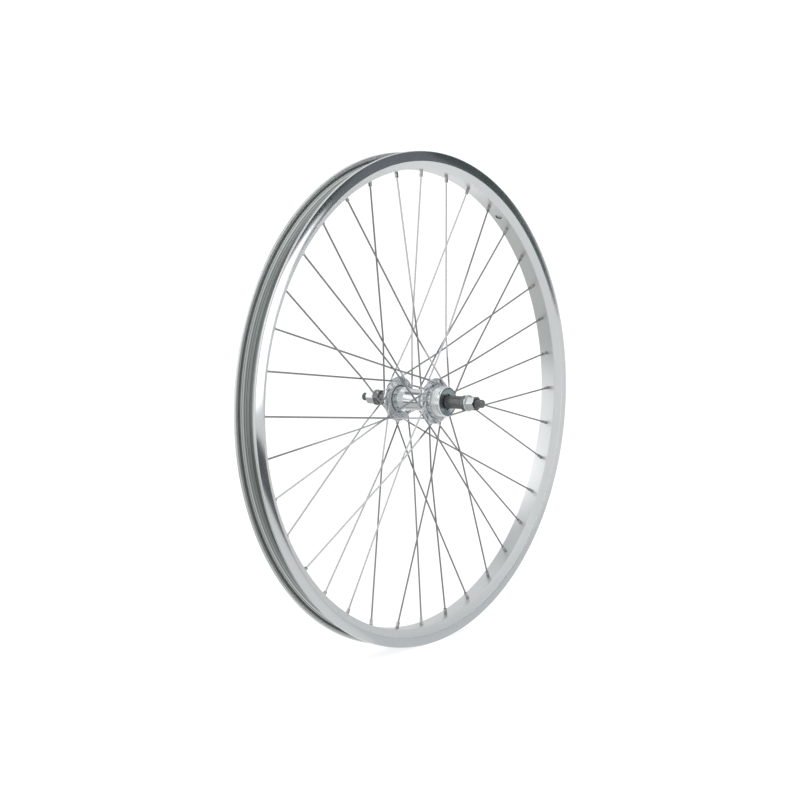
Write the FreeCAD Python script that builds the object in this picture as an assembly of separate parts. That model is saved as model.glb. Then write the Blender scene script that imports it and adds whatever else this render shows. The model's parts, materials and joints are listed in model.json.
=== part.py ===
"""Rear bicycle wheel: a single-wall alloy rim, 36 spokes laced three cross, a screw-on freewheel hub
on caged balls, and a solid nutted axle.

Millimetres. The origin is the wheel's centre, midway between the locknuts, on the axle's axis.
+Y runs along the axle to the left side, -Y to the drive side, +Z is up and the bicycle rolls to +X.
Angles in the wheel's plane are measured from +X towards +Z.
Turned pieces are drawn as (out, r): the distance from the wheel's plane towards their side, and the radius.
"""
import math
import os

from FreeCAD import Placement, Rotation, Vector
import Part

DRIVE = -1
LEFT = 1

# ---- Rim, 559 mm bead seat ----
rim_diameter = 572.0
rim_width = 31.3
rim_height = 20.0
channel_width = 25.0
lip_round = 1.1
hook_height = 3.4
hook_depth = 1.1
hook_slope = 0.9
bead_seat_depth = 6.5
bead_corner = 0.5
bead_seat_width = 1.6
well_knee_depth = 12.0
well_knee_half_width = 8.0
well_floor_half_width = 5.6
bed_thickness = 2.6
bed_half_width = 10.0
brake_track_height = 11.6
valve_hole_diameter = 8.5
valve_hole_place = 5.5  # in spoke hole pitches from +X

# ---- Lacing ----
spoke_count = 36
crosses = 3
spoke_diameter = 2.0
spoke_head_diameter = 4.3
spoke_head_height = 1.3
spoke_crossing_gap = 0.2
spoke_elbow_radius = 2.35
spoke_flange_clearance = 0.1
crossing_bend_radius = 30.0
spoke_end_above_seat = 1.0
nipple_seat_depth = 0.5
nipple_diameter = 4.0
nipple_flats = 3.3
nipple_flats_length = 5.6
nipple_length = 10.0
nipple_head_diameter = 6.0
nipple_head_edge = 1.1
nipple_head_height = 2.0
nipple_slot_width = 1.0
nipple_slot_depth = 0.7
nipple_bore_clearance = 0.02
nipple_hole_clearance = 0.15

# ---- Hub shell ----
flange_offset = {DRIVE: 20.8, LEFT: 34.0}
boss_end = {DRIVE: 38.8, LEFT: 45.0}
flange_edge = 4.0
flange_thickness = 3.2
flange_chamfer = 1.0
hole_circle_diameter = 45.0
spoke_hole_diameter = 2.6
collar_diameter = 30.0
collar_length = 8.8
collar_taper = 5.0
barrel_diameter = 25.0
barrel_bore = 18.0
spoke_head_room = 0.85
freewheel_thread_diameter = 34.8
freewheel_thread_length = 11.8
left_boss_diameter = 33.0
boss_chamfer = 1.1

# ---- Bearings, one set a side ----
ball_diameter = 6.35
balls_per_side = 7
ball_circle_diameter = 19.8
race_clearance = 0.05
cup_diameter = 28.6
cup_bore = 17.0
cup_floor = 1.8
cup_lip = 4.0
ball_plane_depth = 8.2
retainer_cup_gap = 0.42
retainer_width = 1.9
retainer_near = 1.2
retainer_far = 2.7
cone_nose_diameter = 12.4
cone_nose_length = 3.6
race_wrap_degrees = 60.0
cap_seat_diameter = 30.0
cap_seat_depth = 2.6
cap_recess = 0.3
cap_thickness = 0.8
cap_round = 0.7
cap_bore = 18.4
cap_dish = 0.6

# ---- Axle and what is screwed on it ----
axle_diameter = 9.52
axle_length = 178.0
axle_chamfer = 0.9
thread_clearance = 0.02
over_locknuts = 135.0
cone_end = {DRIVE: 36.6, LEFT: 50.0}
cone_flats = 15.0
cone_flats_length = 4.0
spacer_diameter = 15.0
spacer_chamfer = 0.3
lock_washer_diameter = 15.6
lock_washer_thickness = 1.2
locknut_across_flats = 17.0
locknut_thickness = {DRIVE: 5.0, LEFT: 7.5}
nut_washer_diameter = 19.3
nut_washer_thickness = 1.8
track_nut_across_flats = 15.0
track_nut_thickness = 10.6
hex_chamfer = 0.9

# ---- Worked out from the sizes above ----
rim_radius = rim_diameter / 2
bed_radius = rim_radius - rim_height
well_floor_radius = bed_radius + bed_thickness
nipple_seat_radius = well_floor_radius - nipple_seat_depth
hole_circle_radius = hole_circle_diameter / 2
flange_radius = hole_circle_radius + flange_edge
shoulder_radius = hole_circle_radius - spoke_head_diameter / 2 - spoke_head_room
hole_pitch = 360 / spoke_count
spokes_per_set = spoke_count // 4
set_pitch = 360 / spokes_per_set
cross_angle = crosses * 2 * hole_pitch
spoke_radius = spoke_diameter / 2
ball_radius = ball_diameter / 2
ball_circle_radius = ball_circle_diameter / 2
race_radius = ball_radius + race_clearance
cup_floor_start = race_radius + cup_floor
thread_bore_radius = axle_diameter / 2 + thread_clearance
locknut_face = over_locknuts / 2
AXIS = Vector(0, 1, 0)
WHEEL_CENTRE = Vector(0, 0, 0)


def closed_wire(start, steps, place):
    """A closed wire through the steps; a step is an end point, or a (middle, end) pair for an arc."""
    edges = []
    here = place(start)
    for step in steps + [start]:
        if isinstance(step[0], tuple):
            middle, end = place(step[0]), place(step[1])
            edges.append(Part.Arc(here, middle, end).toShape())
        else:
            end = place(step)
            edges.append(Part.LineSegment(here, end).toShape())
        here = end
    return Part.Wire(edges)


def turned(side, start, *steps):
    """A solid of revolution about the axle, from an (out, r) outline on the given side."""
    wire = closed_wire(start, list(steps), lambda point: Vector(0, side * point[0], point[1]))
    return Part.Face(wire).revolve(WHEEL_CENTRE, AXIS, 360)


def arc_point(centre, radius, degrees):
    """The (out, r) point on a circle; 0 degrees points out along the axle, 90 away from it."""
    angle = math.radians(degrees)
    return (centre[0] + radius * math.cos(angle), centre[1] + radius * math.sin(angle))


def polar(radius, degrees, y):
    """A point of the wheel at a radius and an angle in its plane."""
    angle = math.radians(degrees)
    return Vector(radius * math.cos(angle), y, radius * math.sin(angle))


def around(shape, count, pitch):
    """The shape and its copies turned about the axle."""
    copies = []
    for index in range(count):
        copy = shape.copy()
        copy.rotate(WHEEL_CENTRE, AXIS, -index * pitch)
        copies.append(copy)
    return copies


def ring(side, start, end, inner_radius, outer_radius, chamfer=0.0):
    """A plain ring about the axle from one distance out to another, with its outer edges chamfered."""
    outside = [(start, outer_radius), (end, outer_radius)]
    if chamfer > 0:
        outside = [(start, outer_radius - chamfer), (start + chamfer, outer_radius),
                   (end - chamfer, outer_radius), (end, outer_radius - chamfer)]
    return turned(side, (start, inner_radius), *outside, (end, inner_radius))


# ---- Rim ----
def lip(outer, inner):
    """The rounded top of one lip, from the brake track over to the channel: an arc, a flat and an arc."""
    bevel = lip_round * (1 - math.sqrt(0.5))
    outer_arc = ((outer - bevel, rim_radius - bevel), (outer - lip_round, rim_radius))
    inner_arc = ((inner + bevel, rim_radius - bevel), (inner, rim_radius - lip_round))
    return [outer_arc, (inner + lip_round, rim_radius), inner_arc]


def rim_half(side):
    """Half of the rolled rim: out from the middle, up the brake track, over the lip, down the channel."""
    outer = rim_width / 2
    inner = channel_width / 2
    recess = inner + hook_depth
    seat_radius = rim_radius - bead_seat_depth
    channel = [
        (inner, rim_radius - hook_height),
        (recess, rim_radius - hook_height - hook_slope),
        (recess, seat_radius + bead_corner),
        (recess - bead_corner, seat_radius),
        (recess - bead_corner - bead_seat_width, seat_radius),
        (well_knee_half_width, rim_radius - well_knee_depth),
        (well_floor_half_width, well_floor_radius),
        (0, well_floor_radius),
    ]
    return turned(side, (0, bed_radius), (bed_half_width, bed_radius),
                  (outer, rim_radius - brake_track_height), (outer, rim_radius - lip_round),
                  *lip(outer, inner), *channel)


def rim():
    """The rim with its spoke holes, each with a flat seat for a nipple head, and its valve hole."""
    tools = []
    for spoke_set in SPOKE_SETS:
        seat, direction = nipple_place(spoke_set)
        hole_radius = nipple_diameter / 2 + nipple_hole_clearance
        seat_radius = nipple_head_diameter / 2 + nipple_hole_clearance
        hole = Part.makeCylinder(hole_radius, rim_height, seat - direction * rim_height / 2, direction)
        spot_face = Part.makeCylinder(seat_radius, rim_height, seat, direction)
        tools += around(hole.fuse(spot_face), spokes_per_set, set_pitch)
    outward = polar(1.0, valve_hole_place * hole_pitch, 0)
    start = outward * (bed_radius - rim_height / 2)
    tools.append(Part.makeCylinder(valve_hole_diameter / 2, rim_height, start, outward))
    rolled = rim_half(DRIVE).fuse(rim_half(LEFT)).removeSplitter()
    return rolled.cut(tools)


# ---- Spokes and nipples ----
class SpokeSet:
    """A quarter of the spokes: every fourth rim hole, one flange, one lean.

    lean is +1 where the hub hole is ahead of the rim hole in angle (leading spokes), -1 where it is behind.
    outside is +1 where the spokes lie on the flange's outer face, -1 on its inner face.
    """

    def __init__(self, name, side, lean, outside, first_hole):
        self.name = name
        self.side = side
        self.lean = lean
        self.outside = outside
        self.rim_angle = first_hole * hole_pitch
        self.hub_angle = self.rim_angle + lean * cross_angle


SPOKE_SETS = [
    SpokeSet("drive_trailing", DRIVE, -1, 1, 0),
    SpokeSet("left_trailing", LEFT, -1, -1, 1),
    SpokeSet("drive_leading", DRIVE, 1, -1, 2),
    SpokeSet("left_leading", LEFT, 1, 1, 3),
]


def spoke_crossing(spoke_set):
    """Where a spoke meets its last crossing: those laid on the outer faces pass inside the others here."""
    half_rim = math.radians(hole_pitch)
    half_hub = math.radians(cross_angle - hole_pitch)
    hub_part = hole_circle_radius * math.sin(half_hub)
    rim_part = nipple_seat_radius * math.sin(half_rim)
    share = hub_part / (hub_part + rim_part)
    hub = polar(hole_circle_radius, spoke_set.hub_angle, 0)
    rim_point = polar(nipple_seat_radius, spoke_set.rim_angle, 0)
    crossing = hub + (rim_point - hub) * share
    half_gap = spoke_radius + spoke_crossing_gap / 2
    out = flange_offset[spoke_set.side] * (1 - share) - spoke_set.outside * half_gap
    crossing.y = spoke_set.side * out
    return crossing


def elbow_height(spoke_set, crossing):
    """How far a spoke's elbow stands off its flange face, so that the spoke clears the flange's edge."""
    hub = polar(hole_circle_radius, spoke_set.hub_angle, 0)
    run = Vector(crossing.x - hub.x, 0, crossing.z - hub.z)
    length = run.Length
    run.normalize()
    inward = -hub.dot(run)
    face_radius = flange_radius - flange_chamfer
    over_face = inward + math.sqrt(inward ** 2 + face_radius ** 2 - hole_circle_radius ** 2)
    share = over_face / length
    face_out = flange_offset[spoke_set.side] + spoke_set.outside * flange_thickness / 2
    approach = spoke_set.outside * (face_out - abs(crossing.y))
    needed = (spoke_radius + spoke_flange_clearance + max(0, approach) * share) / (1 - share)
    return max(spoke_elbow_radius, needed)


def nipple_place(spoke_set):
    """The centre of a set's first nipple seat, and the spoke's direction through it."""
    seat = polar(nipple_seat_radius, spoke_set.rim_angle, 0)
    direction = seat - spoke_crossing(spoke_set)
    direction.normalize()
    return seat, direction


def rounded_path(points, radii):
    """A wire of straight runs joined by tangent arcs, one radius for each inner point."""
    edges = []
    here = points[0]
    for before, corner, after, radius in zip(points, points[1:], points[2:], radii):
        back = (before - corner).normalize()
        ahead = (after - corner).normalize()
        half_angle = back.getAngle(ahead) / 2
        tangent = radius / math.tan(half_angle)
        middle_distance = radius / math.sin(half_angle) - radius
        arc_start = corner + back * tangent
        arc_end = corner + ahead * tangent
        arc_middle = corner + (back + ahead).normalize() * middle_distance
        edges.append(Part.LineSegment(here, arc_start).toShape())
        edges.append(Part.Arc(arc_start, arc_middle, arc_end).toShape())
        here = arc_end
    edges.append(Part.LineSegment(here, points[-1]).toShape())
    return Part.Wire(edges)


def spoke_head(centre, outward):
    """A domed spoke head standing on its flange face; outward points away from the flange."""
    radius = spoke_head_diameter / 2
    dome_radius = (radius ** 2 + spoke_head_height ** 2) / (2 * spoke_head_height)
    dome_centre = centre + outward * (spoke_head_height - dome_radius)
    ball = Part.makeSphere(dome_radius, dome_centre)
    return ball.common(Part.makeCylinder(radius, spoke_head_height, centre, outward))


def spoke(spoke_set):
    """One spoke of a set: head, elbow through its flange, last crossing and threaded end."""
    side_way = Vector(0, spoke_set.side * spoke_set.outside, 0)
    hole = polar(hole_circle_radius, spoke_set.hub_angle, spoke_set.side * flange_offset[spoke_set.side])
    head_face = hole - side_way * (flange_thickness / 2)
    crossing = spoke_crossing(spoke_set)
    elbow = hole + side_way * (flange_thickness / 2 + elbow_height(spoke_set, crossing))
    seat, direction = nipple_place(spoke_set)
    end = seat + direction * spoke_end_above_seat
    path = rounded_path([head_face, elbow, crossing, end], [spoke_elbow_radius, crossing_bend_radius])
    section = Part.Wire(Part.makeCircle(spoke_radius, head_face, side_way))
    shaft = path.makePipeShell([section], True, True)
    return shaft.fuse(spoke_head(head_face, side_way * -1)).removeSplitter()


def nipple(spoke_set):
    """One nipple of a set: slotted head in the channel, round neck through the rim, square wrench flats."""
    head_radius = nipple_head_diameter / 2
    outline = [
        (nipple_diameter / 2, -nipple_length),
        (nipple_diameter / 2, 0),
        (head_radius, 0),
        (head_radius, nipple_head_edge),
        (nipple_diameter / 2, nipple_head_height),
        (0, nipple_head_height),
    ]
    wire = closed_wire((0, -nipple_length), outline, lambda point: Vector(point[0], 0, point[1]))
    body = Part.Face(wire).revolve(WHEEL_CENTRE, Vector(0, 0, 1), 360)
    bore_radius = spoke_radius + nipple_bore_clearance
    long_enough = nipple_length + nipple_head_height
    bore = Part.makeCylinder(bore_radius, long_enough, Vector(0, 0, -nipple_length))
    slot_corner = Vector(-head_radius, -nipple_slot_width / 2, nipple_head_height - nipple_slot_depth)
    slot = Part.makeBox(2 * head_radius, nipple_slot_width, nipple_slot_depth, slot_corner)
    blank = Part.makeCylinder(nipple_diameter, nipple_flats_length, Vector(0, 0, -nipple_length))
    square_corner = Vector(-nipple_flats / 2, -nipple_flats / 2, -nipple_length)
    square = Part.makeBox(nipple_flats, nipple_flats, nipple_flats_length, square_corner)
    body = body.cut([bore, slot, blank.cut(square)])
    seat, direction = nipple_place(spoke_set)
    body.Placement = Placement(seat, Rotation(Vector(0, 0, 1), direction))
    return body


# ---- Hub shell and bearings ----
def ball_plane(side):
    """How far out the balls' centres are."""
    return boss_end[side] - ball_plane_depth


def hub_bore(side):
    """The space inside one end of the shell: dust cap seat, cup seat and half of the barrel's bore."""
    end = boss_end[side]
    cup_seat_floor = ball_plane(side) - cup_floor_start
    return turned(side, (0, 0), (0, barrel_bore / 2), (cup_seat_floor, barrel_bore / 2),
                  (cup_seat_floor, cup_diameter / 2), (end - cap_seat_depth, cup_diameter / 2),
                  (end - cap_seat_depth, cap_seat_diameter / 2), (end, cap_seat_diameter / 2), (end, 0))


def hub_half(side, steps_outside):
    """The outside of one half of the shell, from the barrel's middle over the flange to the boss."""
    inner_face = flange_offset[side] - flange_thickness / 2
    outer_face = flange_offset[side] + flange_thickness / 2
    edge = flange_radius - flange_chamfer
    collar_start = inner_face - collar_length
    return turned(side, (0, 0), (0, barrel_diameter / 2),
                  (collar_start - collar_taper, barrel_diameter / 2),
                  (collar_start, collar_diameter / 2), (inner_face, collar_diameter / 2),
                  (inner_face, edge), (inner_face + flange_chamfer, flange_radius),
                  (outer_face - flange_chamfer, flange_radius), (outer_face, edge), *steps_outside)


def boss_tip(end, radius):
    """The chamfered end of a boss, closed down to the axis."""
    return [(end - boss_chamfer, radius), (end, radius - boss_chamfer), (end, 0)]


def hub_shell():
    """Both halves of the shell with their flanges drilled for the spokes."""
    drive_face = flange_offset[DRIVE] + flange_thickness / 2
    left_face = flange_offset[LEFT] + flange_thickness / 2
    thread_start = boss_end[DRIVE] - freewheel_thread_length
    thread_radius = freewheel_thread_diameter / 2
    drive_steps = [(drive_face, shoulder_radius), (thread_start, shoulder_radius),
                   (thread_start, thread_radius)]
    left_steps = [(left_face, left_boss_diameter / 2)]
    drive_half = hub_half(DRIVE, drive_steps + boss_tip(boss_end[DRIVE], thread_radius))
    left_half = hub_half(LEFT, left_steps + boss_tip(boss_end[LEFT], left_boss_diameter / 2))
    tools = [hub_bore(DRIVE), hub_bore(LEFT)]
    for spoke_set in SPOKE_SETS:
        hole_start = flange_offset[spoke_set.side] - flange_thickness
        start = polar(hole_circle_radius, spoke_set.hub_angle, spoke_set.side * hole_start)
        way = Vector(0, spoke_set.side, 0)
        hole = Part.makeCylinder(spoke_hole_diameter / 2, 2 * flange_thickness, start, way)
        tools += around(hole, spokes_per_set, set_pitch)
    return drive_half.fuse(left_half).removeSplitter().cut(tools)


def bearing_cup(side):
    """The hardened cup pressed into the shell, with the outer race."""
    out = ball_plane(side)
    floor = out - race_radius
    outer = cup_diameter / 2
    wall = ball_circle_radius + race_radius
    centre = (out, ball_circle_radius)
    race = (arc_point(centre, race_radius, 135), arc_point(centre, race_radius, 180))
    return turned(side, (floor - cup_floor, cup_bore / 2), (floor - cup_floor, outer), (out + cup_lip, outer),
                  (out + cup_lip, wall), (out, wall), race, (floor, cup_bore / 2))


def ball_centres(side):
    """The centres of one side's balls."""
    pitch = 360 / balls_per_side
    y = side * ball_plane(side)
    return [polar(ball_circle_radius, index * pitch, y) for index in range(balls_per_side)]


def bearing_balls(side):
    """One side's balls."""
    return [Part.makeSphere(ball_radius, centre) for centre in ball_centres(side)]


def ball_retainer(side):
    """The pressed ring that spaces the balls, with a pocket for each."""
    out = ball_plane(side)
    outer = ball_circle_radius + race_radius - retainer_cup_gap
    band = ring(side, out + retainer_near, out + retainer_far, outer - retainer_width, outer)
    return band.cut([Part.makeSphere(race_radius, centre) for centre in ball_centres(side)])


def dust_cap(side):
    """The dished steel cap pressed into the end of the shell."""
    face = boss_end[side] - cap_recess
    back = boss_end[side] - cap_seat_depth
    outer = cap_seat_diameter / 2
    inner = cap_bore / 2
    bevel = cap_round * (1 - math.sqrt(0.5))
    corner = ((face - bevel, outer - bevel), (face, outer - cap_round))
    return turned(side, (back, outer - cap_thickness), (back, outer), (face - cap_round, outer), corner,
                  (face - cap_dish, inner), (face - cap_dish - cap_thickness, inner),
                  (face - cap_thickness, outer - cap_thickness))


# ---- Axle set ----
def axle():
    """The solid axle with chamfered ends."""
    half = axle_length / 2
    radius = axle_diameter / 2
    return turned(LEFT, (-half, 0), (-half, radius - axle_chamfer), (axle_chamfer - half, radius),
                  (half - axle_chamfer, radius), (half, radius - axle_chamfer), (half, 0))


def wrench_flats(shape, side, across, start, length):
    """The shape with two opposite flats over a length measured inwards from start."""
    depth = shape.BoundBox.XLength
    for way in (-1, 1):
        low_x = across / 2 if way > 0 else -across / 2 - depth
        low_y = start - length if side > 0 else -start
        shape = shape.cut(Part.makeBox(depth, length, 2 * depth, Vector(low_x, low_y, -depth)))
    return shape


def cone(side):
    """The cone with the inner race; the part of it outside the shell has wrench flats."""
    out = ball_plane(side)
    end = cone_end[side]
    nose = out - cone_nose_length
    race_bottom = ball_circle_radius - race_radius
    centre = (out, ball_circle_radius)
    wrap_end = race_wrap_degrees - 90
    shoulder = arc_point(centre, race_radius, wrap_end)
    race = (arc_point(centre, race_radius, (wrap_end - 90) / 2), shoulder)
    body = turned(side, (nose, thread_bore_radius), (nose, cone_nose_diameter / 2),
                  (out - race_radius, race_bottom), (out, race_bottom), race,
                  (end, shoulder[1]), (end, thread_bore_radius))
    if end - cone_flats_length > boss_end[side]:
        body = wrench_flats(body, side, cone_flats, end, cone_flats_length)
    return body


def lock_washer_start(side):
    """How far out the lock washer's inner face is."""
    return locknut_face - locknut_thickness[side] - lock_washer_thickness


def spacer(side):
    """The plain tube between the cone and the lock washer."""
    return ring(side, cone_end[side], lock_washer_start(side), thread_bore_radius,
                spacer_diameter / 2, spacer_chamfer)


def lock_washer(side):
    """The thin washer under the locknut."""
    start = lock_washer_start(side)
    return ring(side, start, start + lock_washer_thickness, thread_bore_radius, lock_washer_diameter / 2)


def hex_nut(side, start, thickness, across_flats):
    """A hexagonal nut with two flats level, both faces chamfered round and its bore plain."""
    corner_radius = across_flats / math.sqrt(3)
    corners = [polar(corner_radius, 60 * index, side * start) for index in range(6)]
    prism = Part.Face(Part.makePolygon(corners + corners[:1])).extrude(Vector(0, side * thickness, 0))
    turned_blank = ring(side, start, start + thickness, thread_bore_radius, corner_radius, hex_chamfer)
    return prism.common(turned_blank)


def locknut(side):
    """The nut that locks the cone."""
    thickness = locknut_thickness[side]
    return hex_nut(side, locknut_face - thickness, thickness, locknut_across_flats)


def nut_washer(side):
    """The washer that bears on the dropout."""
    return ring(side, locknut_face, locknut_face + nut_washer_thickness, thread_bore_radius,
                nut_washer_diameter / 2, spacer_chamfer)


def track_nut(side):
    """The nut that clamps the dropout."""
    return hex_nut(side, locknut_face + nut_washer_thickness, track_nut_thickness, track_nut_across_flats)


def write(name, shape):
    """Write one node, a solid or a group of solids, to its own file."""
    solids = shape if isinstance(shape, list) else shape.Solids
    Part.makeCompound(solids).exportStep("parts/" + name + ".step")
    print(name, len(solids), "solids", round(sum(solid.Volume for solid in solids), 1), "mm3")


def main():
    os.makedirs("parts", exist_ok=True)
    write("rim", rim())
    write("hub_shell", hub_shell())
    for spoke_set in SPOKE_SETS:
        write(spoke_set.name + "_spokes", around(spoke(spoke_set), spokes_per_set, set_pitch))
        write(spoke_set.name + "_nipples", around(nipple(spoke_set), spokes_per_set, set_pitch))
    write("axle", axle())
    for side, side_name in ((DRIVE, "drive"), (LEFT, "left")):
        write(side_name + "_bearing_cup", bearing_cup(side))
        write(side_name + "_bearing_balls", bearing_balls(side))
        write(side_name + "_ball_retainer", ball_retainer(side))
        write(side_name + "_dust_cap", dust_cap(side))
        write(side_name + "_cone", cone(side))
        write(side_name + "_axle_spacer", spacer(side))
        write(side_name + "_lock_washer", lock_washer(side))
        write(side_name + "_locknut", locknut(side))
        write(side_name + "_nut_washer", nut_washer(side))
        write(side_name + "_track_nut", track_nut(side))


main()
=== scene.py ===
"""Looks for the rear bicycle wheel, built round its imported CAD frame.

Metres, in the CAD's frame: the origin is the wheel's centre, +Y runs along the axle to the left side,
-Y to the drive side and +Z is up. Turned pieces are drawn as outlines of (y, radius, fillet) in millimetres.
"""

import json
import math

import bmesh
import bpy
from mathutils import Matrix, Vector


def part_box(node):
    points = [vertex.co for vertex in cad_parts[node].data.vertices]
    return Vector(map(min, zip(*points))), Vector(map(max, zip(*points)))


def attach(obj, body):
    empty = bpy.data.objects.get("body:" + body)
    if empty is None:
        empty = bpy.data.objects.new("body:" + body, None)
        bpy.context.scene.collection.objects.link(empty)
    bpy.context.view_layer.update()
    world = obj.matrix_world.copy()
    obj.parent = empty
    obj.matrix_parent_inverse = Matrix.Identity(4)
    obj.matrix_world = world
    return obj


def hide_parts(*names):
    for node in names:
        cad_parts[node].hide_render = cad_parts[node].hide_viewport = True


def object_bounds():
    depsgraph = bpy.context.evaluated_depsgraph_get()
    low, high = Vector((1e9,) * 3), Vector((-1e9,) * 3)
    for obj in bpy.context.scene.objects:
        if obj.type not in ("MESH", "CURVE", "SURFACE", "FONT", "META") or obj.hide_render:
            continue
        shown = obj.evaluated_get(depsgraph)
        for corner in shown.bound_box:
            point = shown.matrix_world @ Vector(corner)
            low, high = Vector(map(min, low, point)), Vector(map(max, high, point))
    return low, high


MM = 0.001
DRIVE = -1
LEFT = 1
SIDE_NAMES = {DRIVE: "drive", LEFT: "left"}

# ---- Camera, solved from the photograph ----
camera_azimuth = -51.341
camera_elevation = 4.629
camera_distance = 1.6288
camera_lens = 62.86
camera_sensor = 36.0
camera_shift = (-0.02697, 0.00014)
camera_reach = 100.0

# ---- How fine the meshes are ----
near = 1e-4
fillet_steps = 5
drill_sides = 32
sharp_degrees = 28
rim_segments = 720
hub_segments = 192
axle_segments = 64
nut_segments = 144
washer_segments = 240
samples_per_thread = 8

# ---- Rim section, mm ----
rim_half_width = 15.65
rim_radius = 286.0
lip_round = 1.05
channel_half_width = 12.5
hook_foot_radius = 282.6
hook_root_radius = 281.7
hook_half_width = 13.6
hook_round = 0.3
recess_round = 0.4
bead_seat_radius = 279.5
bead_seat_half_width = 11.5
knee_radius = 274.0
knee_half_width = 8.0
channel_round = 0.8
well_floor_radius = 268.6
well_half_width = 5.6
well_round = 1.2
track_edge_radius = 274.4
track_edge_round = 0.6
bed_radius = 266.0
bed_half_width = 10.0
bed_round = 1.4

# ---- Holes in the rim, mm ----
spoke_count = 36
cross_degrees = 60
rim_hole_radius = 2.15
nipple_seat_radius = 268.1
spot_face_radius = 3.15
valve_hole_radius = 4.25
valve_hole_degrees = 55.0
drill_length = 16.0
valve_drill_lead = 6.0

# ---- Where the rim's finish changes, and where shade is painted in its channel, hook recesses and valve hole, mm ----
track_flatness = 0.97
track_depth = 0.2
dull_shaded_half_width = 11.0
dull_shaded_below_floor = 0.6
shaded_recess_radii = (279.4, 281.6)
shaded_recess_half_widths = (13.0, 13.7)
valve_wall_slope = 0.1
valve_wall_reach = 0.05

# ---- Hub, mm ----
boss_end = {DRIVE: -38.8, LEFT: 45.0}
boss_chamfer = 1.0
boss_end_round = 0.15
thread_round = 0.2
shoulder_y = -27.0
shoulder_radius = 19.5
shoulder_round = 0.3
shoulder_foot_round = 0.5
left_boss_radius = 16.5
left_boss_foot_round = 0.8
hole_circle_radius = 22.5
flange_y = {DRIVE: -20.8, LEFT: 34.0}
flange_thickness = 3.2
flange_radius = 26.5
flange_edge_half_width = 0.8
flange_edge_round = 0.5
flange_face_radius = 25.6
flange_face_round = 0.4
flange_hole_radius = 1.3
collar_radius = 15.0
collar_length = 8.6
collar_taper = 5.4
collar_foot_round = 1.4
collar_round = 2.5
barrel_radius = 12.5
barrel_round = 4.0
barrel_bore = 9.0
cap_seat_radius = 15.0
cap_seat_depth = 2.6
cup_seat_radius = 14.3
cup_seat_depth = 10.625
boss_thread_radius = 17.4
boss_thread_from = -36.9
boss_thread_to = -27.6
boss_thread_pitch = 1.058
boss_thread_depth = 0.28

# ---- Where the hub's finish changes: each groove darkened with painted shadow is a place along the axle and two radii, mm ----
shadowed_groove_rings = ((32.4, 15.05, 16.4), (-22.4, 19.55, 20.7))
shadowed_groove_reach = 1.2
boss_face_depth = 1.3
boss_face_flatness = 0.9
satin_from_radius = 17.6
satin_flatness = 0.5

# ---- Axle, mm ----
axle_radius = 4.76
axle_half_length = 89.0
axle_chamfer = 0.9
axle_face_edge = 1.0
axle_face_round = 0.2
centre_drill_radius = 1.1
centre_drill_tip = 0.02
axle_thread_from = 56.0
axle_thread_pitch = 0.977
axle_thread_depth = 0.42
thread_flank_share = 0.36

# ---- Nuts and washers, mm ----
bore_radius = 4.78
countersink = 0.5
track_nut_across = 15.0
locknut_across = 17.0
hex_chamfer = 0.9
hex_edge_ease = 0.36
hex_rows = (0, 0.06, 0.15, 0.3, 0.5, 0.7, hex_chamfer, 1.2)
# How far a face must point out along the axle to take the nut's painted shade
shaded_end_slope = 0.25
washer_radius = 9.65
washer_chamfer = 0.4
washer_face_round = 0.15
washer_edge_round = 0.2

# ---- Metal ----
least_radius = 1e-5
line_streak = 3.0
# The channel's bands, dull alloy with painted shade: how drawn out round the axle, and how strongly they
# stand out.
band_streak = 0.6
shade_band_contrast = (-2.2, 3.4)
smudge_scale = 38.0
smudge_drift = 0.03
quarter_turn = 0.25
patch_share = 0.06
grain_relief = 0.1
grain_depth = 3e-5
oily_streak = 2.0
oily_metallic = 0.85
oily_relief = 0.2

# ---- Spokes: the arcs of the wheel, in degrees, and the bends, in metres, where a painted highlight makes the wire pale ----
highlit_spoke_arcs = ((66, 104), (-166, -122))
highlit_arc_edge = 4.0
highlit_bend_radius = 0.027
highlit_bend_edge = 0.004

# ---- Studio. Only reflections see the panels: headings in degrees from -Y towards +X, heights above the
# horizon, and how softly each ends. Later panels cover earlier ones ----
plain_light = 1.12
floor_shade = 0.25
floor_glow = 0.82
room_colour = (0.79, 0.805, 0.81)
light_place = (-0.6, -0.8, 2.6)
light_size = 2.4
light_power = 6
floor_reach = 30.0
floor_roughness = 0.9
PANELS = [
    {"headings": (62, 160), "heights": (-90, -26), "edge": 8, "colour": (1.04, 1.05, 1.05)},
    {"headings": (-180, -60), "heights": (-90, -30), "edge": 16, "colour": (0.55, 0.57, 0.56)},
    {"headings": (150, 180), "heights": (-90, -30), "edge": 10, "colour": (0.55, 0.57, 0.56)},
    {"headings": (-165, -112), "heights": (-10, 24), "edge": 5, "colour": (1.15, 1.17, 1.18)},
    {"headings": (-165, -125), "heights": (26, 38), "edge": 4, "colour": (1.8, 1.82, 1.84)},
    {"headings": (-180, -140), "heights": (44, 47), "edge": 2, "colour": (0.10, 0.11, 0.11)},
    {"headings": (-180, -150), "heights": (49, 70), "edge": 4, "colour": (0.25, 0.27, 0.28)},
    {"headings": (-160, -110), "heights": (-24, -18), "edge": 2, "colour": (0.07, 0.08, 0.08)},
    {"headings": (48.5, 65), "heights": (-30, -10.3), "edge": 0.6, "colour": (0.63, 0.66, 0.68)},
    {"headings": (25, 51.8), "heights": (-9.6, -6.8), "edge": 0.7, "colour": (0.098, 0.106, 0.115)},
    {"headings": (25, 61), "heights": (-0.1, 24), "edge": 0.7, "colour": (0.070, 0.086, 0.088)},
    {"headings": (46, 52), "heights": (1.9, 24), "edge": 0.7, "colour": (0.16, 0.178, 0.20)},
    {"headings": (20, 46.4), "heights": (-4.1, 3.5), "edge": 1.0, "colour": (2.2, 2.2, 2.25)},
]

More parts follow.
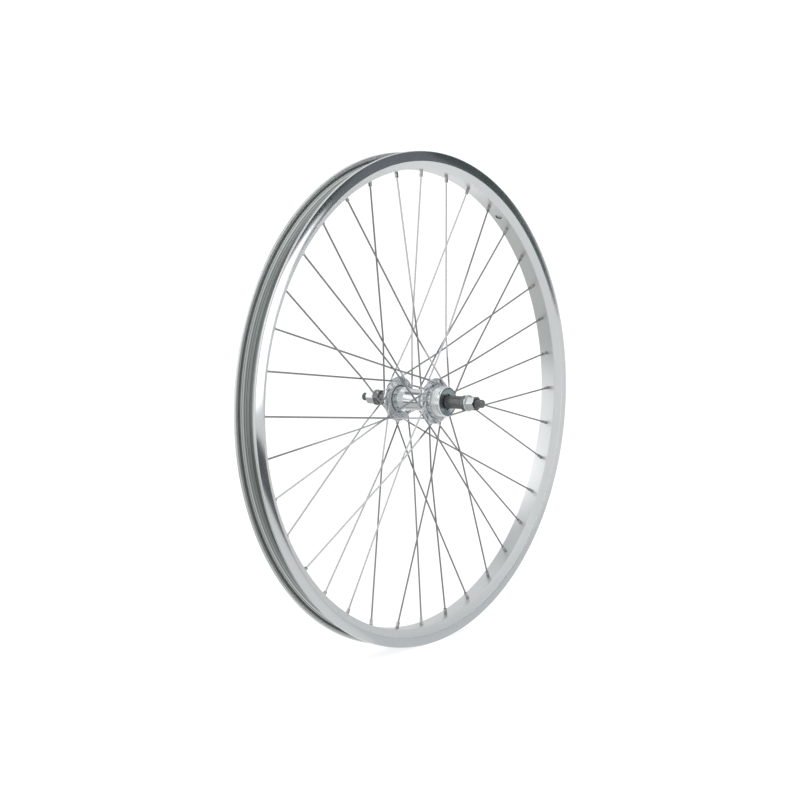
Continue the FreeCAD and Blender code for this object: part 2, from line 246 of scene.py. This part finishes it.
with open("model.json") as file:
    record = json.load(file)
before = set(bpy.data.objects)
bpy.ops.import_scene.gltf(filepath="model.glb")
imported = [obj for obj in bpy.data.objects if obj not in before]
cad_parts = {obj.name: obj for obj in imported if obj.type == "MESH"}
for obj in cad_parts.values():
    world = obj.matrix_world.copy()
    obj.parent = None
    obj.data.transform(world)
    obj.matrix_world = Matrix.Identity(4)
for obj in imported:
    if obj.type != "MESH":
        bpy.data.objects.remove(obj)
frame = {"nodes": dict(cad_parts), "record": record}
cad_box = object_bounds()


# ---------------------------------------------------------------- Meshes
def link(name, mesh, material, body):
    """An object for a mesh: shaded smooth up to its sharp edges, riding on a CAD body."""
    piece = bpy.data.objects.new(name, mesh)
    bpy.context.scene.collection.objects.link(piece)
    mesh.shade_smooth()
    mesh.set_sharp_from_angle(angle=math.radians(sharp_degrees))
    mesh.materials.append(material)
    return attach(piece, body)


def fillet(before, corner, after, radius):
    """Points of an arc that rounds a corner of an outline."""
    here = Vector(corner)
    back = (Vector(before) - here).normalized()
    ahead = (Vector(after) - here).normalized()
    half = back.angle(ahead) / 2
    reach = radius / math.tan(half)
    centre = here + (back + ahead).normalized() * (radius / math.sin(half))
    start = (here + back * reach - centre).normalized()
    end = (here + ahead * reach - centre).normalized()
    shares = [step / fillet_steps for step in range(fillet_steps + 1)]
    return [tuple(centre + start.slerp(end, share) * radius) for share in shares]


def rounded_outline(corners):
    """A closed outline of (y, radius) points from (y, radius, fillet) corners."""
    points = []
    for index, (y, radius, curve) in enumerate(corners):
        if curve == 0:
            points.append((y, radius))
            continue
        before = corners[index - 1][:2]
        after = corners[(index + 1) % len(corners)][:2]
        points += fillet(before, (y, radius), after, curve)
    return points


def subdivided(outline, start, end, radius, spacing):
    """The outline with extra points along its run at one radius, between two places along the axle."""
    count = max(2, round(abs(end - start) / spacing))
    added = [(start + (end - start) * step / count, radius) for step in range(count + 1)]
    for index, (here, ahead) in enumerate(zip(outline, outline[1:])):
        level = max(abs(here[1] - radius), abs(ahead[1] - radius)) < near
        if level and here[0] < start + near and ahead[0] > end - near:
            return outline[:index + 1] + added + outline[index + 1:]
    raise ValueError("no run of the outline lies at that radius")


def turned_mesh(name, outline, segments, shape=None):
    """A closed outline turned about the axle. shape(y, radius, angle) may move each point."""
    verts = []
    for segment in range(segments):
        angle = 2 * math.pi * segment / segments
        for y, radius in outline:
            if shape:
                y, radius = shape(y, radius, angle)
            verts.append((radius * math.cos(angle) * MM, y * MM, radius * math.sin(angle) * MM))
    size = len(outline)
    faces = []
    for segment in range(segments):
        here = segment * size
        there = (segment + 1) % segments * size
        for index in range(size):
            ahead = (index + 1) % size
            faces.append((here + index, here + ahead, there + ahead, there + index))
    mesh = bpy.data.meshes.new(name)
    mesh.from_pydata(verts, [], faces)
    mesh.validate()
    return outward(mesh)


def outward(mesh):
    """The mesh with its faces all pointing out."""
    work = bmesh.new()
    work.from_mesh(mesh)
    bmesh.ops.remove_doubles(work, verts=work.verts, dist=1e-8)
    bmesh.ops.recalc_face_normals(work, faces=work.faces)
    work.to_mesh(mesh)
    work.free()
    return mesh


def cylinder_parts(start, way, radius, length, verts, faces):
    """Adds a capped cylinder, given in mm, to a mesh's lists."""
    turn = way.to_track_quat("Z", "Y").to_matrix()
    first = len(verts)
    for height in (0, length):
        for side in range(drill_sides):
            angle = 2 * math.pi * side / drill_sides
            spot = turn @ Vector((radius * math.cos(angle), radius * math.sin(angle), height))
            verts.append(tuple((start + spot) * MM))
    top = first + drill_sides
    for side in range(drill_sides):
        ahead = (side + 1) % drill_sides
        faces.append((first + side, first + ahead, top + ahead, top + side))
    faces.append(tuple(first + side for side in reversed(range(drill_sides))))
    faces.append(tuple(top + side for side in range(drill_sides)))


def drilled(mesh, cutters):
    """The mesh with cylinders cut from it; each cutter is (start, way, radius, length) in mm."""
    verts, faces = [], []
    for start, way, radius, length in cutters:
        cylinder_parts(start, way, radius, length, verts, faces)
    tool_mesh = bpy.data.meshes.new("drill")
    tool_mesh.from_pydata(verts, [], faces)
    blank = bpy.data.objects.new("blank", mesh)
    tool = bpy.data.objects.new("drill", tool_mesh)
    for made in (blank, tool):
        bpy.context.scene.collection.objects.link(made)
    cut = blank.modifiers.new("holes", "BOOLEAN")
    cut.operation = "DIFFERENCE"
    cut.solver = "EXACT"
    cut.object = tool
    scene_state = bpy.context.evaluated_depsgraph_get()
    result = bpy.data.meshes.new_from_object(blank.evaluated_get(scene_state))
    for made in (blank, tool):
        bpy.data.objects.remove(made)
    return result


def wheel_point(radius, degrees, y=0.0):
    """A point of the wheel in mm, at a radius and an angle from +X towards +Z."""
    angle = math.radians(degrees)
    return Vector((radius * math.cos(angle), y, radius * math.sin(angle)))


def thread_cut(along, angle, pitch, depth):
    """How deep a thread cuts at a place along the axle and an angle round it."""
    phase = (along / pitch + angle / (2 * math.pi)) % 1
    return depth * max(0.0, 1 - abs(phase - 0.5) / thread_flank_share)


def paint(mesh, names, choose):
    """Gives some faces other materials. choose(face, y, radius) returns one of the names, or None."""
    for name in names:
        mesh.materials.append(MATERIALS[name])
    for face in mesh.polygons:
        radius = math.hypot(face.center.x, face.center.z) / MM
        chosen = choose(face, face.center.y / MM, radius)
        if chosen:
            face.material_index = names.index(chosen) + 1


# ---------------------------------------------------------------- Materials
def node(tree, kind, inputs=None, **settings):
    """A shader node with its settings, and its inputs as values or as links from other sockets."""
    made = tree.nodes.new(kind)
    for name, value in settings.items():
        setattr(made, name, value)
    for name, value in (inputs or {}).items():
        if isinstance(value, bpy.types.NodeSocket):
            tree.links.new(value, made.inputs[name])
        else:
            made.inputs[name].default_value = value
    return made


def maths(tree, operation, first, second=0.0):
    """A math node's result."""
    return node(tree, "ShaderNodeMath", {0: first, 1: second}, operation=operation).outputs[0]


def blank_material(name):
    """A new node material: its tree and its main shader."""
    made = bpy.data.materials.new(name)
    made.use_nodes = True
    return made, made.node_tree, made.node_tree.nodes["Principled BSDF"]


def ramp(tree, factor, low, high):
    """A factor stretched from one number to another."""
    stretch = node(tree, "ShaderNodeMapRange", {"Value": factor, "To Min": low, "To Max": high})
    return stretch.outputs["Result"]


def soft_step(tree, value, low, high):
    """0 up to one number and 1 from another, eased between."""
    return node(tree, "ShaderNodeMapRange", {"Value": value, "From Min": low, "From Max": high},
                interpolation_type="SMOOTHSTEP").outputs["Result"]


def window(tree, value, start, end, edge):
    """1 while a value is between two limits, falling to 0 over a soft edge outside each."""
    past_end = soft_step(tree, value, end, end + edge)
    before_end = maths(tree, "SUBTRACT", 1.0, past_end)
    return maths(tree, "MULTIPLY", soft_step(tree, value, start - edge, start), before_end)


def mixed(tree, factor, low, high):
    """A colour between two, by a factor; each is a colour or a socket."""
    mix = node(tree, "ShaderNodeMix", {"Factor": factor}, data_type="RGBA")
    colour_inputs = [socket for socket in mix.inputs if socket.type == "RGBA"]
    for socket, colour in zip(colour_inputs, (low, high)):
        if isinstance(colour, bpy.types.NodeSocket):
            tree.links.new(colour, socket)
        else:
            socket.default_value = (*colour, 1)
    return [socket for socket in mix.outputs if socket.type == "RGBA"][0]


def noise(tree, vector, scale, detail=3.0):
    """A noise texture's value."""
    made = node(tree, "ShaderNodeTexNoise", {"Vector": vector, "Scale": scale, "Detail": detail})
    return made.outputs["Fac"]


def wheel_place(tree):
    """The place on the object, its coordinates, and its distance from the axle."""
    place = node(tree, "ShaderNodeTexCoord").outputs["Object"]
    split = node(tree, "ShaderNodeSeparateXYZ", {"Vector": place}).outputs
    flat = node(tree, "ShaderNodeCombineXYZ", {"X": split["X"], "Z": split["Z"]}).outputs["Vector"]
    radius = node(tree, "ShaderNodeVectorMath", {0: flat}, operation="LENGTH").outputs["Value"]
    return place, split, radius


def turning_lines(tree, density, streak):
    """A vector for noise drawn out round the axle, as turning and drawing leave on metal, and the place."""
    place, split, radius = wheel_place(tree)
    round_way = maths(tree, "DIVIDE", split["X"], maths(tree, "ADD", radius, least_radius))
    lines = node(tree, "ShaderNodeCombineXYZ", {
        "X": maths(tree, "MULTIPLY", radius, density),
        "Y": maths(tree, "MULTIPLY", split["Y"], density),
        "Z": maths(tree, "MULTIPLY", round_way, streak),
    })
    return lines.outputs["Vector"], place


def bumped(tree, shader, height, strength, distance):
    """Raises the surface by a height field."""
    bump = node(tree, "ShaderNodeBump", {"Height": height, "Strength": strength, "Distance": distance})
    tree.links.new(bump.outputs["Normal"], shader.inputs["Normal"])


def turned_metal(name, dark, light, rough, density, anisotropy=0.0, relief=0.15, depth=4e-5, banded=False):
    """Metal with lines round the axle and faint handling marks. Its colour drifts, or follows the lines."""
    made, tree, shader = blank_material(name)
    lines, place = turning_lines(tree, density, band_streak if banded else line_streak)
    fine = noise(tree, lines, scale=1.0, detail=4.0)
    smudge = noise(tree, place, smudge_scale, detail=5.0)
    tone = ramp(tree, fine, *shade_band_contrast) if banded else smudge
    tree.links.new(mixed(tree, tone, dark, light), shader.inputs["Base Color"])
    varied = maths(tree, "ADD", ramp(tree, fine, *rough), ramp(tree, smudge, -smudge_drift, smudge_drift))
    tree.links.new(varied, shader.inputs["Roughness"])
    shader.inputs["Metallic"].default_value = 1.0
    if anisotropy:
        tangent = node(tree, "ShaderNodeTangent", direction_type="RADIAL", axis="Y")
        tree.links.new(tangent.outputs["Tangent"], shader.inputs["Tangent"])
        shader.inputs["Anisotropic"].default_value = anisotropy
        shader.inputs["Anisotropic Rotation"].default_value = quarter_turn
    bumped(tree, shader, fine, relief, depth)
    return made


def grained_metal(name, dark, light, rough, scale):
    """Metal with an even grain and patches, for plated and greased pieces."""
    made, tree, shader = blank_material(name)
    place = node(tree, "ShaderNodeTexCoord").outputs["Object"]
    grain = noise(tree, place, scale, detail=5.0)
    patches = noise(tree, place, scale * patch_share)
    tree.links.new(mixed(tree, patches, dark, light), shader.inputs["Base Color"])
    tree.links.new(ramp(tree, grain, *rough), shader.inputs["Roughness"])
    shader.inputs["Metallic"].default_value = 1.0
    bumped(tree, shader, grain, grain_relief, grain_depth)
    return made


def drawn_stainless(name, dark, light, rough, scale, drift=0.15, drift_scale=54.0):
    """Drawn wire with a painted highlight: pale at its bends and in some arcs of the wheel, darker
    elsewhere.
    """
    made, tree, shader = blank_material(name)
    place, split, radius = wheel_place(tree)
    around = maths(tree, "DEGREES", maths(tree, "ARCTAN2", split["Z"], split["X"]))
    # Painted highlight near the hub's bends and in the listed arcs of the wheel.
    pale = window(tree, radius, 0.0, highlit_bend_radius, highlit_bend_edge)
    for start, end in highlit_spoke_arcs:
        pale = maths(tree, "MAXIMUM", pale, window(tree, around, start, end, highlit_arc_edge))
    grain = noise(tree, place, scale, detail=5.0)
    tone = maths(tree, "ADD", pale, ramp(tree, noise(tree, place, drift_scale), -drift, drift))
    tree.links.new(mixed(tree, tone, dark, light), shader.inputs["Base Color"])
    tree.links.new(ramp(tree, grain, *rough), shader.inputs["Roughness"])
    shader.inputs["Metallic"].default_value = 1.0
    bumped(tree, shader, grain, grain_relief, grain_depth)
    return made


def oiled_black_steel(name, black, bare, rough, density, patch_scale, worn=(0.60, 0.72)):
    """Black oxide with an oily sheen, rubbed to bare steel in specks where its patches are worn."""
    made, tree, shader = blank_material(name)
    lines, place = turning_lines(tree, density, oily_streak)
    fine = noise(tree, lines, scale=1.0)
    patches = noise(tree, place, patch_scale, detail=5.0)
    limits = {"Value": patches, "From Min": worn[0], "From Max": worn[1]}
    rubbed = node(tree, "ShaderNodeMapRange", limits).outputs["Result"]
    tree.links.new(mixed(tree, rubbed, black, bare), shader.inputs["Base Color"])
    tree.links.new(ramp(tree, fine, *rough), shader.inputs["Roughness"])
    shader.inputs["Metallic"].default_value = oily_metallic
    bumped(tree, shader, fine, oily_relief, grain_depth)
    return made


# Each metal: its material's name, its darker and lighter colours, its least and most roughness, and how fine
# its marks are, then for the black steel its patches too.
MATERIALS = {
    "track": turned_metal(
        "rim_track_machined", (0.69, 0.705, 0.705), (0.73, 0.745, 0.745), (0.085, 0.10), 5200.0,
        anisotropy=0.95, relief=0.02, depth=3e-6),
    "rim": turned_metal(
        "rim_satin_alloy", (0.72, 0.735, 0.735), (0.78, 0.795, 0.79), (0.36, 0.48), 1500.0,
        anisotropy=0.3, relief=0.08),
    # The channel is duller alloy, and its dark bands are painted shade.
    "channel": turned_metal(
        "rim_channel_dull_alloy_and_painted_shade", (0.25, 0.275, 0.265), (0.66, 0.68, 0.67), (0.26, 0.40), 620.0,
        anisotropy=0.5, relief=0.10, banded=True),
    # Painted shade for the rim's hook recesses and valve hole.
    "recess": turned_metal(
        "rim_hook_recess_painted_shade", (0.13, 0.14, 0.14), (0.24, 0.255, 0.25), (0.40, 0.55), 1500.0, relief=0.10),
    "hub": turned_metal(
        "hub_polished_alloy", (0.74, 0.76, 0.77), (0.83, 0.85, 0.86), (0.09, 0.17), 2400.0,
        anisotropy=0.6, relief=0.08, depth=1e-5),
    "flange": turned_metal(
        "hub_flange_satin", (0.42, 0.45, 0.46), (0.68, 0.705, 0.71), (0.16, 0.26), 1400.0,
        anisotropy=0.4, relief=0.12),
    "spoke": drawn_stainless(
        "spoke_drawn_stainless_painted_highlight", (0.30, 0.30, 0.305), (0.66, 0.66, 0.67), (0.24, 0.42), 900.0),
    "nipple": grained_metal(
        "nipple_nickel_plate", (0.16, 0.165, 0.16), (0.66, 0.66, 0.64), (0.16, 0.30), 4200.0),
    "zinc": grained_metal(
        "zinc_bright_plate", (0.54, 0.57, 0.57), (0.76, 0.78, 0.77), (0.12, 0.24), 700.0),
    "black": oiled_black_steel(
        "black_steel_oiled", (0.165, 0.17, 0.17), (0.40, 0.40, 0.395), (0.26, 0.46), 3500.0, 260.0),
    # Painted shade for the nuts' outer ends and the hub's grooves; the drive boss's end face also takes this
    # dark material.
    "nut_end": turned_metal(
        "nut_end_painted_shade", (0.09, 0.095, 0.095), (0.20, 0.205, 0.20), (0.26, 0.40), 2600.0),
    "cap": turned_metal(
        "cap_pressed_zinc", (0.26, 0.32, 0.34), (0.42, 0.49, 0.51), (0.18, 0.30), 1800.0),
    "bearing": turned_metal(
        "bearing_ground_steel", (0.52, 0.52, 0.53), (0.66, 0.66, 0.67), (0.08, 0.16), 3000.0),
    "retainer": grained_metal(
        "retainer_greased_steel", (0.36, 0.33, 0.27), (0.50, 0.47, 0.41), (0.2, 0.4), 700.0),
}
MATERIAL_OF_SLOT = {
    "rim_alloy": "rim",
    "hub_alloy": "hub",
    "spoke_steel": "spoke",
    "nipple_plate": "nipple",
    "black_steel": "black",
    "zinc_steel": "zinc",
    "cap_steel": "cap",
    "bearing_steel": "bearing",
    "retainer_steel": "retainer",
}


def finish_cad_nodes():
    """Gives every CAD node the material of its slot."""
    for part in frame["record"]["subparts"]:
        mesh = frame["nodes"][part["node"]].data
        mesh.materials.clear()
        mesh.materials.append(MATERIALS[MATERIAL_OF_SLOT[part["material_slot"]]])


# ---------------------------------------------------------------- Rim
def rim_outline():
    """The rim's section with its corners eased, from the bed round the track and lip to the well."""
    half = [
        (bed_half_width, bed_radius, bed_round),
        (rim_half_width, track_edge_radius, track_edge_round),
        (rim_half_width, rim_radius, lip_round),
        (channel_half_width, rim_radius, lip_round),
        (channel_half_width, hook_foot_radius, hook_round),
        (hook_half_width, hook_root_radius, hook_round),
        (hook_half_width, bead_seat_radius, recess_round),
        (bead_seat_half_width, bead_seat_radius, channel_round),
        (knee_half_width, knee_radius, channel_round),
        (well_half_width, well_floor_radius, well_round),
    ]
    mirrored = [(-y, radius, curve) for y, radius, curve in reversed(half)]
    return rounded_outline(half + mirrored)


def rim_cutters():
    """The spoke holes. Each leans towards the hole in the flange that its spoke comes from."""
    cutters = []
    for hole in range(spoke_count):
        degrees = hole * 360 / spoke_count
        seat = wheel_point(nipple_seat_radius, degrees)
        side = DRIVE if hole % 2 == 0 else LEFT
        lean = 1 if hole % 4 >= 2 else -1
        hub = wheel_point(hole_circle_radius, degrees + lean * cross_degrees, flange_y[side])
        way = (seat - hub).normalized()
        cutters.append((seat - way * (drill_length / 2), way, rim_hole_radius, drill_length))
    return cutters


def rim_seat_cutters():
    """The flat seats under the nipple heads, and the valve hole."""
    cutters = []
    for start, way, _, length in rim_cutters():
        cutters.append((start + way * (length / 2), way, spot_face_radius, length))
    outward_way = wheel_point(1, valve_hole_degrees)
    valve_start = outward_way * (bed_radius - valve_drill_lead)
    cutters.append((valve_start, outward_way, valve_hole_radius, drill_length))
    return cutters


def in_valve_hole(face):
    """Whether a face is part of the valve hole's wall."""
    way = wheel_point(1, valve_hole_degrees)
    if abs(face.normal.dot(way)) > valve_wall_slope or way.dot(face.center) < bed_radius * MM:
        return False
    return way.cross(face.center).length < (valve_hole_radius + valve_wall_reach) * MM


def rim_finish(face, y, radius):
    """The material of a face of the rim that isn't plain satin: the machined track, painted shade in the
    valve hole and hook recesses, or the dull channel darkened with painted shade.
    """
    out = abs(y)
    if abs(face.normal.y) > track_flatness and out > rim_half_width - track_depth:
        return "track"
    # Painted shade inside the valve hole.
    if in_valve_hole(face):
        return "recess"
    # Painted shade in the hook recesses.
    low, high = shaded_recess_radii
    inner, outer = shaded_recess_half_widths
    if low < radius < high and inner < out < outer:
        return "recess"
    # The channel: duller alloy, darkened further with painted shade.
    if out < dull_shaded_half_width and radius > well_floor_radius - dull_shaded_below_floor:
        return "channel"
    return None


def build_rim():
    """The rim: satin, with machined brake tracks, a dull channel darkened with painted shade, and painted
    shade in its hook recesses and valve hole.
    """
    mesh = turned_mesh("rim_body", rim_outline(), rim_segments)
    mesh = drilled(mesh, rim_cutters())
    mesh = drilled(mesh, rim_seat_cutters())
    mesh.name = "rim_body"
    piece = link("rim_body", mesh, MATERIALS["rim"], "wheel")
    paint(mesh, ("track", "channel", "recess"), rim_finish)
    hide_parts("rim")


# ---------------------------------------------------------------- Hub
def flange_rim(side):
    """The corners round a flange's edge, from its -Y face to its +Y face."""
    middle = flange_y[side]
    half = flange_thickness / 2
    return [
        (middle - half, flange_face_radius, flange_face_round),
        (middle - flange_edge_half_width, flange_radius, flange_edge_round),
        (middle + flange_edge_half_width, flange_radius, flange_edge_round),
        (middle + half, flange_face_radius, flange_face_round),
    ]


def hub_outline():
    """The shell's section: bosses, flanges, collars, barrel and bores."""
    drive_face = flange_y[DRIVE] - flange_thickness / 2
    drive_collar = flange_y[DRIVE] + flange_thickness / 2
    left_collar = flange_y[LEFT] - flange_thickness / 2
    left_face = flange_y[LEFT] + flange_thickness / 2
    drive_cap = boss_end[DRIVE] + cap_seat_depth
    left_cap = boss_end[LEFT] - cap_seat_depth
    corners = [
        (boss_end[DRIVE], cap_seat_radius, boss_end_round),
        (boss_end[DRIVE], boss_thread_radius - boss_chamfer, boss_end_round),
        (boss_end[DRIVE] + boss_chamfer, boss_thread_radius, thread_round),
        (shoulder_y, boss_thread_radius, 0),
        (shoulder_y, shoulder_radius, shoulder_round),
        (drive_face, shoulder_radius, shoulder_foot_round),
        *flange_rim(DRIVE),
        (drive_collar, collar_radius, collar_foot_round),
        (drive_collar + collar_length, collar_radius, collar_round),
        (drive_collar + collar_length + collar_taper, barrel_radius, barrel_round),
        (left_collar - collar_length - collar_taper, barrel_radius, barrel_round),
        (left_collar - collar_length, collar_radius, collar_round),
        (left_collar, collar_radius, collar_foot_round),
        *flange_rim(LEFT),
        (left_face, left_boss_radius, left_boss_foot_round),
        (boss_end[LEFT] - boss_chamfer, left_boss_radius, shoulder_round),
        (boss_end[LEFT], left_boss_radius - boss_chamfer, boss_end_round),
        (boss_end[LEFT], cap_seat_radius, boss_end_round),
        (left_cap, cap_seat_radius, 0),
        (left_cap, cup_seat_radius, 0),
        (left_cap - cup_seat_depth, cup_seat_radius, 0),
        (left_cap - cup_seat_depth, barrel_bore, 0),
        (drive_cap + cup_seat_depth, barrel_bore, 0),
        (drive_cap + cup_seat_depth, cup_seat_radius, 0),
        (drive_cap, cup_seat_radius, 0),
        (drive_cap, cap_seat_radius, 0),
    ]
    outline = rounded_outline(corners)
    spacing = boss_thread_pitch / samples_per_thread
    return subdivided(outline, boss_thread_from, boss_thread_to, boss_thread_radius, spacing)


def boss_thread(y, radius, angle):
    """Cuts the freewheel thread into the drive boss, shallower towards its ends."""
    if radius == boss_thread_radius and boss_thread_from < y < boss_thread_to:
        from_end = min(y - boss_thread_from, boss_thread_to - y)
        run_out = min(1.0, from_end / boss_thread_pitch)
        radius -= run_out * thread_cut(y, angle, boss_thread_pitch, boss_thread_depth)
    return y, radius


def flange_cutters():
    """The spoke holes of both flanges. The left flange's are half a pitch round."""
    cutters = []
    holes = spoke_count // 2
    pitch = 360 / holes
    for side, first in ((DRIVE, 0), (LEFT, pitch / 2)):
        for hole in range(holes):
            degrees = first + cross_degrees + hole * pitch
            start = wheel_point(hole_circle_radius, degrees, flange_y[side] - flange_thickness)
            cutters.append((start, Vector((0, 1, 0)), flange_hole_radius, 2 * flange_thickness))
    return cutters


def hub_finish(face, y, radius):
    """The material of a face of the shell that isn't polished: the darker end face of the drive boss,
    painted shadow in the grooves, or the satin flanges.
    """
    # The drive boss's end face is made darker with the same material.
    if face.normal.y < -boss_face_flatness and y < boss_end[DRIVE] + boss_face_depth:
        return "nut_end"
    # Painted shadow in the grooves at the feet of the flanges.
    for place, inner, outer in shadowed_groove_rings:
        if abs(y - place) < shadowed_groove_reach and inner < radius < outer:
            return "nut_end"
    if abs(face.normal.y) > satin_flatness and radius > satin_from_radius:
        return "flange"
    return None


def build_hub():
    """The polished shell with its drilled satin flanges, its thread, and painted shadow in its grooves."""
    mesh = drilled(turned_mesh("hub_body", hub_outline(), hub_segments, boss_thread), flange_cutters())
    mesh.name = "hub_body"
    piece = link("hub_body", mesh, MATERIALS["hub"], "wheel")
    paint(mesh, ("nut_end", "flange"), hub_finish)
    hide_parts("hub_shell")


# ---------------------------------------------------------------- Axle, nuts and washers
def axle_thread(y, radius, angle):
    """Cuts the thread into both ends of the axle, shallower towards its ends."""
    if radius == axle_radius and abs(y) > axle_thread_from:
        from_end = min(abs(y) - axle_thread_from, axle_half_length - abs(y))
        run_out = max(0.0, min(1.0, from_end / axle_thread_pitch))
        radius -= run_out * thread_cut(y, angle, axle_thread_pitch, axle_thread_depth)
    return y, radius


def build_axle():
    """The solid axle, threaded at both ends, with a shallow lathe centre in each face."""
    end = axle_half_length
    half = [
        (end - axle_chamfer, axle_radius, 0),
        (end, axle_radius - axle_face_edge, axle_face_round),
        (end, centre_drill_radius, 0),
        (end - centre_drill_radius, centre_drill_tip, 0),
    ]
    mirrored = [(-y, radius, curve) for y, radius, curve in reversed(half)]
    outline = rounded_outline(mirrored + half)
    spacing = axle_thread_pitch / samples_per_thread
    thread_end = end - axle_chamfer
    outline = subdivided(outline, -thread_end, -axle_thread_from, axle_radius, spacing)
    outline = subdivided(outline, axle_thread_from, thread_end, axle_radius, spacing)
    mesh = turned_mesh("axle_threaded", outline, axle_segments, axle_thread)
    piece = link("axle_threaded", mesh, MATERIALS["black"], "axle")
    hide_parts("axle")


def soft_least(first, second, ease):
    """The smaller of two numbers, eased where they meet."""
    gap = max(ease - abs(first - second), 0.0) / ease
    return min(first, second) - gap * gap * ease / 4


def build_nut(name, node_name, side, across, material):
    """A hexagonal nut at its CAD node, with turned chamfers, a countersunk bore and an outer end darkened
    with painted shade.
    """
    low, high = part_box(node_name)
    start, end = low.y / MM, high.y / MM
    ys = [start + row for row in hex_rows] + [end - row for row in reversed(hex_rows)]
    face_middle = (bore_radius + across / 2) / 2
    outline = [(start, bore_radius + countersink), (start, face_middle)]
    outline += [(y, across) for y in ys]
    outline += [(end, face_middle), (end, bore_radius + countersink)]
    outline += [(end - countersink, bore_radius), (start + countersink, bore_radius)]
    corner = across / math.sqrt(3)
    half_facet = math.pi / 6

    def hexagonal(y, radius, angle):
        """Moves the points of the outer rows onto the hexagon or its chamfer."""
        if radius != across:
            return y, radius
        flat = across / 2 / math.cos(angle % (2 * half_facet) - half_facet)
        chamfered = corner - hex_chamfer + min(y - start, end - y)
        return y, soft_least(flat, chamfered, hex_edge_ease)

    def nut_painted_shade(face, y, radius):
        """Paints shade on the outer end and its chamfer."""
        return "nut_end" if face.normal.y * side > shaded_end_slope else None

    mesh = turned_mesh(name, outline, nut_segments, hexagonal)
    piece = link(name, mesh, MATERIALS[material], "axle")
    paint(mesh, ("nut_end",), nut_painted_shade)
    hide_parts(node_name)


def build_washer(side):
    """The flat washer between a track nut and the dropout, with its edges eased."""
    node_name = SIDE_NAMES[side] + "_nut_washer"
    name = SIDE_NAMES[side] + "_toothed_washer"
    ends = [corner.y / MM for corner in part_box(node_name)]
    inner, outer = sorted(ends, key=abs)
    face_edge = washer_radius - washer_chamfer
    outline = rounded_outline([
        (inner, bore_radius, 0),
        (inner, face_edge, washer_face_round),
        (inner + side * washer_chamfer, washer_radius, washer_edge_round),
        (outer - side * washer_chamfer, washer_radius, washer_edge_round),
        (outer, face_edge, washer_face_round),
        (outer, bore_radius, 0),
    ])
    mesh = turned_mesh(name, outline, washer_segments)
    piece = link(name, mesh, MATERIALS["zinc"], "axle")
    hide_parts(node_name)


# ---------------------------------------------------------------- Room
def build_floor(height):
    """A pale, faintly glowing floor under the wheel, which reflections don't see."""
    mesh = bpy.data.meshes.new("floor")
    corners = [(x * floor_reach, y * floor_reach, 0) for x, y in ((-1, -1), (1, -1), (1, 1), (-1, 1))]
    mesh.from_pydata(corners, [], [(0, 1, 2, 3)])
    material, _, shader = blank_material("floor_pale")
    shader.inputs["Base Color"].default_value = (floor_shade, floor_shade, floor_shade, 1)
    shader.inputs["Emission Color"].default_value = (1, 1, 1, 1)
    shader.inputs["Emission Strength"].default_value = floor_glow
    shader.inputs["Roughness"].default_value = floor_roughness
    mesh.materials.append(material)
    floor = bpy.data.objects.new("floor", mesh)
    floor.location = (0, 0, height)
    floor.visible_glossy = False
    bpy.context.scene.collection.objects.link(floor)


def build_world():
    """An even white room, in which reflections see the panels."""
    world = bpy.data.worlds.new("studio")
    world.use_nodes = True
    world.cycles.sampling_method = "NONE"
    bpy.context.scene.world = world
    tree = world.node_tree
    tree.nodes.clear()
    sky = node(tree, "ShaderNodeTexCoord").outputs["Generated"]
    split = node(tree, "ShaderNodeSeparateXYZ", {"Vector": sky}).outputs
    toward = maths(tree, "MULTIPLY", split["Y"], -1.0)
    heading = maths(tree, "DEGREES", maths(tree, "ARCTAN2", split["X"], toward))
    height = maths(tree, "DEGREES", maths(tree, "ARCSINE", split["Z"]))
    shade = room_colour
    for panel in PANELS:
        across = window(tree, heading, *panel["headings"], panel["edge"])
        up = window(tree, height, *panel["heights"], panel["edge"])
        shade = mixed(tree, maths(tree, "MULTIPLY", across, up), shade, panel["colour"])
    room = node(tree, "ShaderNodeBackground", {"Color": shade})
    plain = node(tree, "ShaderNodeBackground", {"Color": (1, 1, 1, 1), "Strength": plain_light})
    mirrored = node(tree, "ShaderNodeLightPath").outputs["Is Glossy Ray"]
    mix = node(tree, "ShaderNodeMixShader", {0: mirrored, 1: plain.outputs[0], 2: room.outputs[0]})
    node(tree, "ShaderNodeOutputWorld", {"Surface": mix.outputs[0]})


def build_light():
    """One large soft box overhead, aimed at the hub, that casts no shadow."""
    data = bpy.data.lights.new("light_overhead", "AREA")
    data.energy = light_power
    data.size = light_size
    data.use_shadow = False
    data.cycles.cast_shadow = False
    lamp = bpy.data.objects.new("light_overhead", data)
    lamp.location = light_place
    lamp.rotation_euler = (-Vector(light_place)).to_track_quat("-Z", "Y").to_euler()
    bpy.context.scene.collection.objects.link(lamp)


def build_camera():
    """The photograph's camera."""
    azimuth = math.radians(camera_azimuth)
    elevation = math.radians(camera_elevation)
    level = math.cos(elevation)
    away = Vector((math.sin(azimuth) * level, -math.cos(azimuth) * level, math.sin(elevation)))
    data = bpy.data.cameras.new("camera")
    data.lens = camera_lens
    data.sensor_width = camera_sensor
    data.shift_x, data.shift_y = camera_shift
    data.clip_end = camera_reach
    camera = bpy.data.objects.new("camera", data)
    camera.location = away * camera_distance
    camera.rotation_euler = (-away).to_track_quat("-Z", "Y").to_euler()
    bpy.context.scene.collection.objects.link(camera)
    bpy.context.scene.camera = camera


finish_cad_nodes()
build_rim()
build_hub()
build_axle()
for side, side_name in SIDE_NAMES.items():
    build_nut(side_name + "_hex_nut", side_name + "_track_nut", side, track_nut_across, "zinc")
    build_nut(side_name + "_cone_nut", side_name + "_locknut", side, locknut_across, "black")
    build_washer(side)
lowest_point = cad_box[0][2]
build_floor(lowest_point)
build_world()
build_light()
build_camera()
bpy.context.scene.view_settings.view_transform = "Standard"
